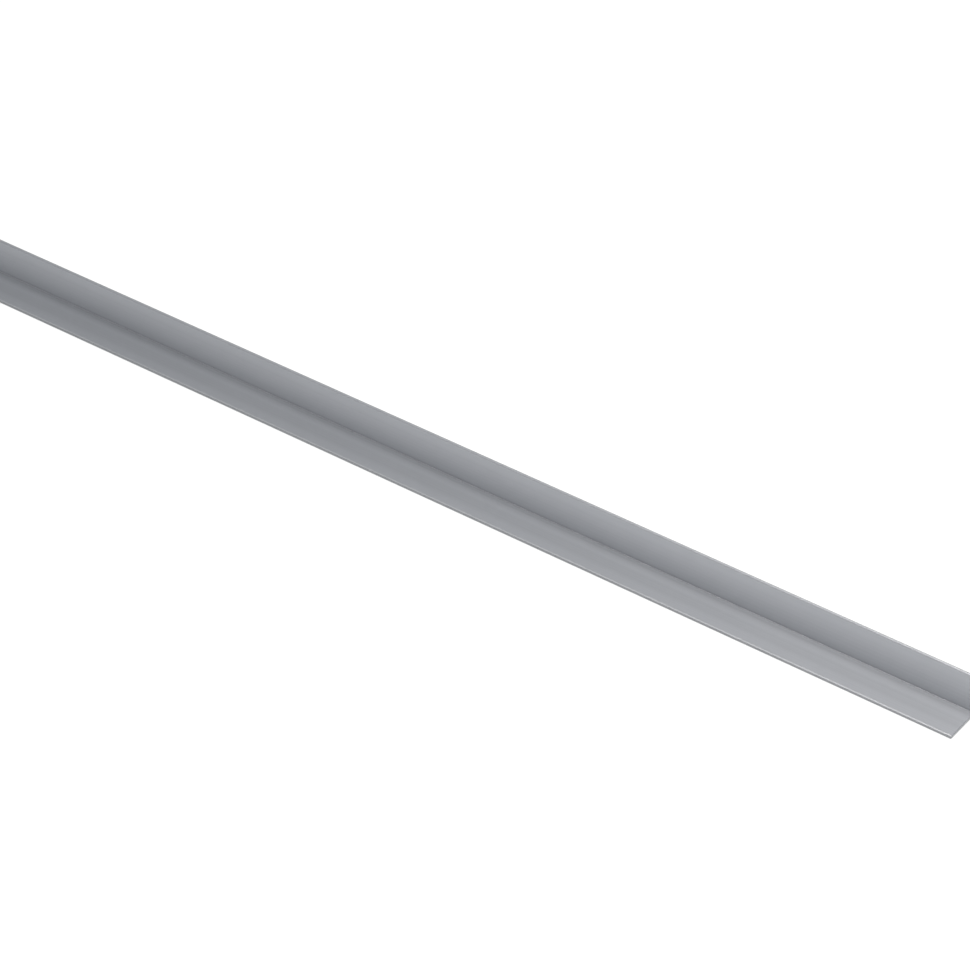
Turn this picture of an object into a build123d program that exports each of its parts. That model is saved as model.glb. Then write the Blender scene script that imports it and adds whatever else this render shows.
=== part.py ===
# Equal-leg aluminium angle, extruded in one piece and sawn to length.
# It lies on its base leg, with the upright leg standing along the back.
# X runs along the length, Y from the toe of the base leg to the upright, Z up.
# The origin is at the middle of the length, under the middle of the base leg.

import os

from build123d import *

# Driving dimensions, in millimetres
stock_length = 1000.0
base_leg_width = 20.0
upright_leg_height = 20.0
wall = 1.5
root_radius = 0.2
heel_radius = 0.5
toe_inside_radius = 0.8
toe_outside_radius = 0.5
saw_edge_break = 0.15

# The two rounded edges of a leg's end share the wall, and shrink together where it is too thin for them
toe_round_limit_share = 0.95
toe_fit = min(1.0, toe_round_limit_share * wall / (toe_inside_radius + toe_outside_radius))

# Lines of the section: Y across the base leg, Z up the upright leg
toe_y = -base_leg_width / 2
heel_y = base_leg_width / 2
upright_face_y = heel_y - wall

with BuildPart() as angle_profile:
    # The section that the die gives, seen along the length
    with BuildSketch(Plane.YZ) as section:
        with BuildLine():
            Polyline(
                (toe_y, 0),
                (heel_y, 0),
                (heel_y, upright_leg_height),
                (upright_face_y, upright_leg_height),
                (upright_face_y, wall),
                (toe_y, wall),
                close=True,
            )
        make_face()
        rounded_corners = [
            ((toe_y, wall), toe_inside_radius * toe_fit),
            ((upright_face_y, upright_leg_height), toe_inside_radius * toe_fit),
            ((toe_y, 0), toe_outside_radius * toe_fit),
            ((heel_y, upright_leg_height), toe_outside_radius * toe_fit),
            ((upright_face_y, wall), root_radius),
            ((heel_y, 0), heel_radius),
        ]
        for corner, radius in rounded_corners:
            fillet(section.vertices().sort_by_distance(corner)[0], radius)
    extrude(amount=stock_length / 2, both=True)

    # Both sawn ends have their sharp edge broken all round
    sawn_ends = angle_profile.faces().filter_by(Axis.X)
    chamfer(sawn_ends.edges(), saw_edge_break)

angle_profile.part.label = "angle_profile"

os.makedirs("parts", exist_ok=True)
export_step(angle_profile.part, "parts/angle_profile.step")
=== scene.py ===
# Satin grey aluminium angle, lying on its base leg with the upright leg at the back.
# Metres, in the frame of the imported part: X along the length, Y from toe to heel, Z up.
import math

import bmesh
import bpy
from mathutils import Matrix, Vector


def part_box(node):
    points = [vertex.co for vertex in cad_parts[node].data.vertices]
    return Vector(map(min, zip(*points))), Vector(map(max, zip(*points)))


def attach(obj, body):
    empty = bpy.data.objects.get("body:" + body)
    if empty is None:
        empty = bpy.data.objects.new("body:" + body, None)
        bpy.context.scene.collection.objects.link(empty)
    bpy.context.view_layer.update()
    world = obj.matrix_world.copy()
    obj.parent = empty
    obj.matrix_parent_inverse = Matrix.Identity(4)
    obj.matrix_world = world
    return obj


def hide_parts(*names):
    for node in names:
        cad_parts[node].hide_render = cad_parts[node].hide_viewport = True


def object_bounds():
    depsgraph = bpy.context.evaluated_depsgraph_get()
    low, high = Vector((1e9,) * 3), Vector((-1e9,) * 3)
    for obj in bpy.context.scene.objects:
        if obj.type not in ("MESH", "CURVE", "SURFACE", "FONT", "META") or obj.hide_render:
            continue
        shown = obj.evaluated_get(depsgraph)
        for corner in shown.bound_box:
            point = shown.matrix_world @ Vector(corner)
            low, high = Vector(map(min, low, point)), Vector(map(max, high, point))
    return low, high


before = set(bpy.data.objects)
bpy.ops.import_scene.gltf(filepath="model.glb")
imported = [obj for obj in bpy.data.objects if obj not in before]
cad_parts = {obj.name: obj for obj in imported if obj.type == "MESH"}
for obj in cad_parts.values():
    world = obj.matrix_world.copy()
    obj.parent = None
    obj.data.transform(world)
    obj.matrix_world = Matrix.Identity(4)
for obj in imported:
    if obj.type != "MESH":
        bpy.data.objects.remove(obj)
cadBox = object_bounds()
scene = bpy.context.scene
scene.view_settings.view_transform = "Standard"


# Small helpers for node trees

def freshTree(owner):
    owner.use_nodes = True
    owner.node_tree.nodes.clear()
    return owner.node_tree


def addNode(tree, kind, settings=None, inputs=None):
    node = tree.nodes.new(kind)
    for name, value in (settings or {}).items():
        setattr(node, name, value)
    for name, value in (inputs or {}).items():
        if isinstance(value, bpy.types.NodeSocket):
            tree.links.new(value, node.inputs[name])
        else:
            node.inputs[name].default_value = value
    return node


def mathNode(tree, operation, first, second=0.0):
    node = addNode(tree, "ShaderNodeMath", {"operation": operation}, {0: first, 1: second})
    return node.outputs[0]


def blendOf(tree, first, second, firstShare):
    # weighted sum of two values
    return mathNode(
        tree, "ADD",
        mathNode(tree, "MULTIPLY", first, firstShare),
        mathNode(tree, "MULTIPLY", second, 1.0 - firstShare),
    )


def mixColors(tree, factor, first, second):
    node = addNode(tree, "ShaderNodeMix", {"data_type": "RGBA"}, {0: factor, 6: first, 7: second})
    return node.outputs[2]


def mixValues(tree, factor, first, second):
    node = addNode(tree, "ShaderNodeMix", {"data_type": "FLOAT"}, {0: factor, 2: first, 3: second})
    return node.outputs[0]


def remap(tree, value, toLow, toHigh, fromLow=0.0, fromHigh=1.0):
    node = addNode(tree, "ShaderNodeMapRange", None, {
        "Value": value, "From Min": fromLow, "From Max": fromHigh, "To Min": toLow, "To Max": toHigh,
    })
    return node.outputs["Result"]


# Angle stock: the section is drawn, pulled to length, then its edges are rounded

angleStock = {
    "node": "angle_profile",
    "wall": 0.0015,
    "rootRadius": 0.0002,     # the inside corner is nearly sharp
    "rootSegments": 4,
    # each edge's radius, and its wear and painted light from the standing flat to the level one:
    # above 0 it is rubbed bright, with a painted highlight in its colour; below 0 it is painted shade
    "edges": {
        "toeLower": (0.0005, (-1.0, -0.5, 0.0)),
        "heel": (0.0005, (0.0, 0.6, 0.0)),
        "topOutside": (0.0005, (0.0, 0.7, 0.55)),
        "topInside": (0.0008, (0.0, -0.5, -0.4, 0.2, 0.55)),
        "toeUpper": (0.0008, (-1.0, -1.0, -1.0, -1.0, -0.7, 0.2, 0.8, 0.85, 0.0)),
    },
    "edgeSegments": 8,
    "sawBreak": 0.00015,      # sharp edge taken off the sawn ends
    "holdingLoop": 0.00025,   # flat strip kept next to each rounding
    "legStrips": 5,
    "crossCuts": 49,
    "sharpAngle": math.radians(32),
    "weld": 1e-7,             # points nearer than this are one
    "onEnd": 1e-6,            # a face this near to an end is the sawn one
}


def wholeMesh(bm):
    return bm.verts[:] + bm.edges[:] + bm.faces[:]


def lengthwiseEdges(bm, minLength):
    return [e for e in bm.edges if abs(e.verts[0].co.x - e.verts[1].co.x) > minLength]


def roundCorner(bm, spot, minLength, radius, segments):
    # the lengthwise edge that runs through this corner of the section
    edge = min(
        lengthwiseEdges(bm, minLength),
        key=lambda e: math.hypot(e.verts[0].co.y - spot[0], e.verts[0].co.z - spot[1]),
    )
    rounded = bmesh.ops.bevel(
        bm, geom=[edge], offset=radius, offset_type="OFFSET", segments=segments,
        profile=0.5, affect="EDGES", material=-1, clamp_overlap=False,
    )
    return rounded["verts"]


def markWearAndPaintedLight(verts, spot, radius, wearAndPaintedLight, wearAndPaintedLightLayer):
    # share of the turn from the standing flat to the level one, then the wear and painted light listed
    # there
    for v in verts:
        rise, run = radius - abs(v.co.z - spot[1]), radius - abs(v.co.y - spot[0])
        turn = math.atan2(rise, run) / (math.pi / 2)
        place = min(max(turn, 0.0), 1.0) * (len(wearAndPaintedLight) - 1)
        before = min(int(place), len(wearAndPaintedLight) - 2)
        v[wearAndPaintedLightLayer] = wearAndPaintedLight[before] + (wearAndPaintedLight[before + 1] - wearAndPaintedLight[before]) * (place - before)


def cutAcross(bm, axis, places, weld):
    # lengthwise loops on the flats, also dividing the sawn ends
    for place in places:
        spot, normal = Vector((0, 0, 0)), Vector((0, 0, 0))
        spot[axis], normal[axis] = place, 1.0
        bmesh.ops.bisect_plane(bm, geom=wholeMesh(bm), dist=weld, plane_co=spot, plane_no=normal)


def flatLoops(start, end, strips, holding):
    inner = [start + holding, end - holding]
    step = (inner[1] - inner[0]) / strips
    return [start] + [inner[0] + step * i for i in range(strips + 1)] + [end]


def breakSawnEdge(bm, endX, inward, spec):
    # inset the end, then draw the old outline back along the length
    endFace = [f for f in bm.faces if all(abs(v.co.x - endX) < spec["onEnd"] for v in f.verts)]
    ring = bmesh.ops.inset_region(bm, faces=endFace, thickness=spec["sawBreak"], use_even_offset=True)
    flat = {v for f in endFace for v in f.verts}
    rim = {v for f in ring["faces"] for v in f.verts} - flat
    bmesh.ops.translate(bm, verts=list(rim), vec=(inward, 0, 0))


def buildAngleStock(spec):
    low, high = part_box(spec["node"])
    length = high.x - low.x
    wall, rootRadius = spec["wall"], spec["rootRadius"]
    innerY, innerZ = high.y - wall, low.z + wall      # inside faces of the two legs
    root = (innerY, innerZ)
    spots = {
        "toeLower": (low.y, low.z),
        "heel": (high.y, low.z),
        "topOutside": (high.y, high.z),
        "topInside": (innerY, high.z),
        "root": root,
        "toeUpper": (low.y, innerZ),
    }

    bm = bmesh.new()
    wearAndPaintedLightLayer = bm.verts.layers.float.new("edgeWearAndPaintedLight")
    section = bm.faces.new([bm.verts.new((low.x, y, z)) for y, z in spots.values()])
    pulled = bmesh.ops.extrude_face_region(bm, geom=[section])
    pulledEnd = [g for g in pulled["geom"] if isinstance(g, bmesh.types.BMVert)]
    bmesh.ops.translate(bm, verts=pulledEnd, vec=(length, 0, 0))
    bmesh.ops.recalc_face_normals(bm, faces=bm.faces[:])

    roundCorner(bm, root, length / 2, rootRadius, spec["rootSegments"])
    for name, (radius, wearAndPaintedLight) in spec["edges"].items():
        rounded = roundCorner(bm, spots[name], length / 2, radius, spec["edgeSegments"])
        markWearAndPaintedLight(rounded, spots[name], radius, wearAndPaintedLight, wearAndPaintedLightLayer)
    breakSawnEdge(bm, low.x, spec["sawBreak"], spec)
    breakSawnEdge(bm, high.x, -spec["sawBreak"], spec)

    # even quads along the length, then loops along the flats
    bmesh.ops.subdivide_edges(
        bm, edges=lengthwiseEdges(bm, length / 2), cuts=spec["crossCuts"], use_grid_fill=True
    )
    strips, holding, weld = spec["legStrips"], spec["holdingLoop"], spec["weld"]
    toeRadius, topRadius = spec["edges"]["toeUpper"][0], spec["edges"]["topInside"][0]
    baseLoops = flatLoops(low.y + toeRadius, innerY - rootRadius, strips, holding)
    uprightLoops = flatLoops(innerZ + rootRadius, high.z - topRadius, strips, holding)
    cutAcross(bm, 1, baseLoops, weld)
    cutAcross(bm, 2, uprightLoops, weld)
    bmesh.ops.remove_doubles(bm, verts=bm.verts[:], dist=weld)
    bmesh.ops.recalc_face_normals(bm, faces=bm.faces[:])

    mesh = bpy.data.meshes.new("angle_stock")
    bm.to_mesh(mesh)
    bm.free()
    mesh.shade_smooth()
    mesh.set_sharp_from_angle(angle=spec["sharpAngle"])
    stock = bpy.data.objects.new("angle_stock", mesh)
    scene.collection.objects.link(stock)
    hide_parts(spec["node"])
    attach(stock, "root")
    print("angle stock:", len(mesh.vertices), "vertices,", len(mesh.polygons), "faces")
    return stock


# Satin aluminium, as it leaves the die: fine lines along the length, with painted bands of reflection,
# shade and highlight
# across the base leg, edges rubbed bright with a painted highlight or given painted shade, a painted shade
# line in the inside corner, and sawn ends painted darker as shade

satinAluminium = {
    "shade": (0.400, 0.410, 0.429, 1.0),
    "shadeLight": (0.447, 0.458, 0.479, 1.0),
    # rubbed edges: partly real wear, partly a painted highlight
    "wornAndHighlightShade": (0.472, 0.476, 0.480, 1.0),
    # painted shade for the inside corner
    "paintedCornerShade": (0.365, 0.374, 0.391, 1.0),
    # painted shade on the toe face and on the downward-facing parts of the toe and top edges
    "paintedEdgeShade": (0.275, 0.281, 0.291, 1.0),
    # sawn ends: painted shade, set darker than the legs so the floor they mirror doesn't lighten them; the
    # rings are saw marks
    "sawnShade": (0.310, 0.316, 0.325, 1.0),
    "sawnLight": (0.350, 0.357, 0.366, 1.0),
    "roughness": (0.57, 0.63),
    "wornRoughness": 0.52,
    "sawnRoughness": 0.45,
    "anisotropy": 0.3,
    # streaks: size per metre, long in X and fine across, and detail
    "dieLines": ((1.4, 1700.0, 1700.0), 3.0),
    "dieStreaks": ((0.8, 260.0, 260.0), 1.0),
    "handling": ((14.0, 14.0, 14.0), 4.0),
    "streakGrain": 0.55,
    "streakSpan": (0.3, 0.7),             # most of a streak's values lie in here
    "linesInTone": 0.5,                   # against the broader streaks
    "handlingInSheen": 0.6,               # likewise
    # faint bands across the base leg, painted into the colour: the darker and lighter ones as painted
    # reflection, a painted shade beside the inside corner, and a painted highlight between that and the
    # corner
    "paintedBands": {                         # distance from the toe, half width, darker or lighter
        "darker": (0.0074, 0.0022, -0.45),
        "lighter": (0.0128, 0.0022, 0.40),
        "paintedShadeBesideCorner": (0.0165, 0.0009, -0.45),
        "paintedHighlightByCorner": (0.0170, 0.0005, 0.20),
    },
    # painted shade line along the inside corner
    "paintedCornerLine": (0.0003, 0.0011),       # height above the inside corner, and reach, of its dark line
    "sawRings": 560.0,
    "sawCentre": (0.0, -0.09, 0.14),
    "sawWobble": 1.6,
    "sawDetail": 2.0,
    "sawDepth": 0.0001,                   # how far in from the end a face counts as sawn
    "sawRelief": 1.5,                     # depth of the saw marks against the die lines
    "bumpStrength": 0.25,
    "bumpDepth": 0.00001,
}


def buildSatinAluminium(spec, box, wall):
    low, high = box
    material = bpy.data.materials.new("satin_aluminium")
    tree = freshTree(material)
    coords = addNode(tree, "ShaderNodeTexCoord").outputs["Object"]
    along, across, _ = addNode(tree, "ShaderNodeSeparateXYZ", None, {0: coords}).outputs

    def streaks(scale, detail):
        mapping = addNode(tree, "ShaderNodeMapping", None, {"Vector": coords, "Scale": scale})
        noise = addNode(tree, "ShaderNodeTexNoise", None, {
            "Vector": mapping.outputs[0], "Scale": 1.0, "Detail": detail, "Roughness": spec["streakGrain"],
        })
        return noise.outputs["Fac"]

    dieLines = streaks(*spec["dieLines"])
    dieStreaks = streaks(*spec["dieStreaks"])
    handling = streaks(*spec["handling"])
    # edge wear and painted light: above 0 rubbed bright with a painted highlight, below 0 painted shade
    wearAndPaintedLight = addNode(tree, "ShaderNodeAttribute", {"attribute_name": "edgeWearAndPaintedLight"}).outputs["Fac"]
    wornAndHighlit = remap(tree, wearAndPaintedLight, 0.0, 1.0)
    paintedEdgeDark = remap(tree, wearAndPaintedLight, 1.0, 0.0, -1.0, 0.0)

    # sawn ends lie within the last fraction of a millimetre
    fromMiddle = mathNode(tree, "ABSOLUTE", along)
    sawn = mathNode(tree, "GREATER_THAN", fromMiddle, high.x - spec["sawDepth"])
    sawMapping = addNode(tree, "ShaderNodeMapping", None, {
        "Vector": coords, "Location": spec["sawCentre"],
    })
    sawMarks = addNode(tree, "ShaderNodeTexWave", {"wave_type": "RINGS", "rings_direction": "X"}, {
        "Vector": sawMapping.outputs[0], "Scale": spec["sawRings"],
        "Distortion": spec["sawWobble"], "Detail": spec["sawDetail"],
    }).outputs["Fac"]

    # painted shade: a dark line just above the inside corner, by the distance from it in the section
    lineHeight, lineReach = spec["paintedCornerLine"]
    inSection = addNode(tree, "ShaderNodeVectorMath", {"operation": "MULTIPLY"}, {
        0: coords, 1: (0, 1, 1),
    })
    toCorner = addNode(tree, "ShaderNodeVectorMath", {"operation": "DISTANCE"}, {
        0: inSection.outputs[0], 1: (0, high.y - wall, low.z + wall + lineHeight),
    }).outputs["Value"]
    inPaintedCornerShade = remap(tree, toCorner, 1.0, 0.0, 0.0, lineReach)

    tone = blendOf(tree, dieLines, dieStreaks, spec["linesInTone"])
    tone = remap(tree, tone, 0.0, 1.0, *spec["streakSpan"])
    # painted bands of reflection, shade and highlight across the base leg
    for fromToe, halfWidth, change in spec["paintedBands"].values():
        offset = mathNode(tree, "ABSOLUTE", mathNode(tree, "SUBTRACT", across, low.y + fromToe))
        tone = mathNode(tree, "ADD", tone, remap(tree, offset, change, 0.0, 0.0, halfWidth))

    color = mixColors(tree, tone, spec["shade"], spec["shadeLight"])
    # rubbed edges lighter: partly real wear, partly a painted highlight
    color = mixColors(tree, wornAndHighlit, color, spec["wornAndHighlightShade"])
    # painted shade in the inside corner
    color = mixColors(tree, inPaintedCornerShade, color, spec["paintedCornerShade"])
    # painted shade on the toe face and the edges' downward-facing parts
    color = mixColors(tree, paintedEdgeDark, color, spec["paintedEdgeShade"])
    # sawn ends: saw marks in a colour painted darker as shade
    sawnPaintedShadeColor = mixColors(tree, sawMarks, spec["sawnShade"], spec["sawnLight"])
    color = mixColors(tree, sawn, color, sawnPaintedShadeColor)

    smoothest, roughest = spec["roughness"]
    sheen = blendOf(tree, handling, dieStreaks, spec["handlingInSheen"])
    rough = remap(tree, sheen, smoothest, roughest, *spec["streakSpan"])
    rough = mixValues(tree, wornAndHighlit, rough, spec["wornRoughness"])
    rough = mixValues(tree, sawn, rough, spec["sawnRoughness"])

    sawHeight = mathNode(tree, "MULTIPLY", sawMarks, spec["sawRelief"])
    height = mixValues(tree, sawn, dieLines, sawHeight)
    bump = addNode(tree, "ShaderNodeBump", None, {
        "Strength": spec["bumpStrength"], "Distance": spec["bumpDepth"], "Height": height,
    })
    tangent = addNode(tree, "ShaderNodeTangent", {"direction_type": "RADIAL", "axis": "X"})

    shader = addNode(tree, "ShaderNodeBsdfPrincipled", None, {
        "Base Color": color, "Metallic": 1.0, "Roughness": rough, "Anisotropic": spec["anisotropy"],
        "Normal": bump.outputs[0], "Tangent": tangent.outputs[0],
    })
    addNode(tree, "ShaderNodeOutputMaterial", None, {"Surface": shader.outputs[0]})
    print("material:", material.name, len(tree.nodes), "nodes")
    return material


# White paper floor: the camera and reflections see it white, and it keeps the object's shadow

paperFloor = {
    "halfSize": 9.0,
    "drop": 0.0001,             # just under the part, so that no two faces coincide
    "paper": (0.8, 0.8, 0.8, 1.0),
    "shadowPart": (0.16, 0.16, 0.16, 1.0),
    "ownWhite": 0.88,           # share of the white that no shadow takes away
    "reflectedWhite": 0.37,     # added to the lit paper where metal mirrors it
}


def buildPaperFloor(spec):
    bm = bmesh.new()
    bmesh.ops.create_grid(bm, x_segments=2, y_segments=2, size=spec["halfSize"])
    bmesh.ops.translate(bm, verts=bm.verts[:], vec=(0, 0, -spec["drop"]))
    mesh = bpy.data.meshes.new("paper_floor")
    bm.to_mesh(mesh)
    bm.free()
    floor = bpy.data.objects.new("paper_floor", mesh)
    scene.collection.objects.link(floor)

    material = bpy.data.materials.new("white_paper")
    tree = freshTree(material)
    rays = addNode(tree, "ShaderNodeLightPath").outputs
    mirrored = mathNode(tree, "MAXIMUM", rays["Is Glossy Ray"], rays["Is Transmission Ray"])
    lit = addNode(tree, "ShaderNodeBsdfDiffuse", None, {"Color": spec["paper"]})
    glow = addNode(tree, "ShaderNodeEmission", None, {
        "Strength": mathNode(tree, "MULTIPLY", mirrored, spec["reflectedWhite"]),
    })
    paper = addNode(tree, "ShaderNodeAddShader", None, {0: lit.outputs[0], 1: glow.outputs[0]})
    shadow = addNode(tree, "ShaderNodeBsdfDiffuse", None, {"Color": spec["shadowPart"]})
    white = addNode(tree, "ShaderNodeEmission", None, {"Strength": spec["ownWhite"]})
    seen = addNode(tree, "ShaderNodeAddShader", None, {0: shadow.outputs[0], 1: white.outputs[0]})
    both = addNode(tree, "ShaderNodeMixShader", None, {
        0: rays["Is Camera Ray"], 1: paper.outputs[0], 2: seen.outputs[0],
    })
    addNode(tree, "ShaderNodeOutputMaterial", None, {"Surface": both.outputs[0]})
    mesh.materials.append(material)
    print("floor: white paper")


# Soft studio light in a pale room: a slightly warm softbox over the near end, a long one overhead,
# a low strip in front and a weak lamp behind

studio = {
    "room": (0.588, 0.600, 0.616),
    "plainTint": (1.0, 1.0, 1.0),
    "softboxes": {
        "near_end": {
            "at": (0.45, -0.09, 0.80), "towards": (0.45, -0.09, 0.0),
            "size": (0.3, 0.3), "power": 3.6, "tint": (1.0, 0.96, 0.93),
        },
        "overhead": {
            "at": (0.20, 0.0, 1.30), "towards": (0.20, 0.001, 0.0),
            "size": (2.2, 0.8), "power": 4.2,
        },
        "front_strip": {
            "at": (0.20, -0.936, 0.165), "towards": (0.20, 0.0, 0.0),
            "size": (2.2, 0.3), "power": 1.8,
        },
        "behind": {
            "at": (0.35, 0.69, 0.40), "towards": (0.45, 0.0, 0.0),
            "size": (0.4, 0.3), "power": 0.4,
        },
    },
}


def lightStudio(spec):
    world = bpy.data.worlds.new("pale_room")
    scene.world = world
    tree = freshTree(world)
    room = addNode(tree, "ShaderNodeBackground", None, {"Color": (*spec["room"], 1.0)})
    addNode(tree, "ShaderNodeOutputWorld", None, {"Surface": room.outputs[0]})
    for name, box in spec["softboxes"].items():
        lamp = bpy.data.lights.new(name, "AREA")
        lamp.shape = "RECTANGLE"
        lamp.size, lamp.size_y = box["size"]
        lamp.energy = box["power"]
        lamp.color = box.get("tint", spec["plainTint"])
        holder = bpy.data.objects.new(name, lamp)
        away = Vector(box["at"]) - Vector(box["towards"])
        turned = away.to_track_quat("Z", "Y").to_matrix().to_4x4()
        holder.matrix_world = Matrix.Translation(box["at"]) @ turned
        scene.collection.objects.link(holder)
    print("light:", len(spec["softboxes"]), "softboxes and a pale room")


# Camera of the photograph: its long side is 971 pixels

photoCamera = {
    "azimuth": math.radians(36.900),
    "elevation": math.radians(37.029),
    "at": (0.98597, -0.97415, 0.93174),
    "focalPixels": 3450.4,
    "longSidePixels": 971,
    "sensor": 36.0,
    "clip": (0.05, 50.0),
}


def setCamera(spec):
    data = bpy.data.cameras.new("photo_camera")
    data.sensor_width = spec["sensor"]
    data.lens = spec["focalPixels"] * spec["sensor"] / spec["longSidePixels"]
    data.clip_start, data.clip_end = spec["clip"]
    camera = bpy.data.objects.new("photo_camera", data)
    a, e = spec["azimuth"], spec["elevation"]
    back = Vector((math.sin(a) * math.cos(e), -math.cos(a) * math.cos(e), math.sin(e)))
    turned = (-back).to_track_quat("-Z", "Y").to_matrix().to_4x4()
    camera.matrix_world = Matrix.Translation(spec["at"]) @ turned
    scene.collection.objects.link(camera)
    scene.camera = camera
    print("camera: lens", round(data.lens, 2))


stock = buildAngleStock(angleStock)
stock.data.materials.append(buildSatinAluminium(satinAluminium, cadBox, angleStock["wall"]))
buildPaperFloor(paperFloor)
lightStudio(studio)
setCamera(photoCamera)
